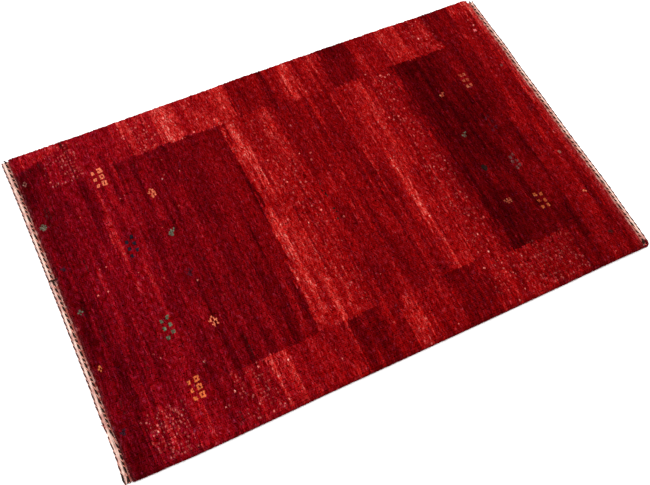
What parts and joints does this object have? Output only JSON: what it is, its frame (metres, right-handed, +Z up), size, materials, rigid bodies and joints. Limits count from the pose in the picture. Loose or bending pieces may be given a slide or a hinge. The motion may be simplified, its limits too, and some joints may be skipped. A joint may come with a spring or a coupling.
{
  "type": "gabbeh rug",
  "caption": "Small hand-knotted wool rug with a deep red pile, flat-woven cream ends, twined two-colour cords and overcast long sides.",
  "frame": {"origin": "on the floor under the middle of the rug's box", "axes": "+X along the length from the left heading to the right one, +Y across the width from the near side to the far side, +Z up out of the pile"},
  "size_m": [0.936, 0.6006, 0.012],
  "materials": {
    "pile_wool": "cut wool pile, abrash reds from maroon to orange-red",
    "heading_wool": "flat-woven undyed cream wool",
    "twined_wool": "twined dark brown and cream wool",
    "selvedge_wool": "overcast maroon wool"
  },
  "bodies": {
    "root": {"pile_field": "pile_wool", "heading_left": "heading_wool", "heading_right": "heading_wool", "edge_cord_left": "twined_wool", "edge_cord_right": "twined_wool", "twined_line_left": "twined_wool", "twined_line_right": "twined_wool", "selvedge_near": "selvedge_wool", "selvedge_far": "selvedge_wool"}
  },
  "joints": []
}
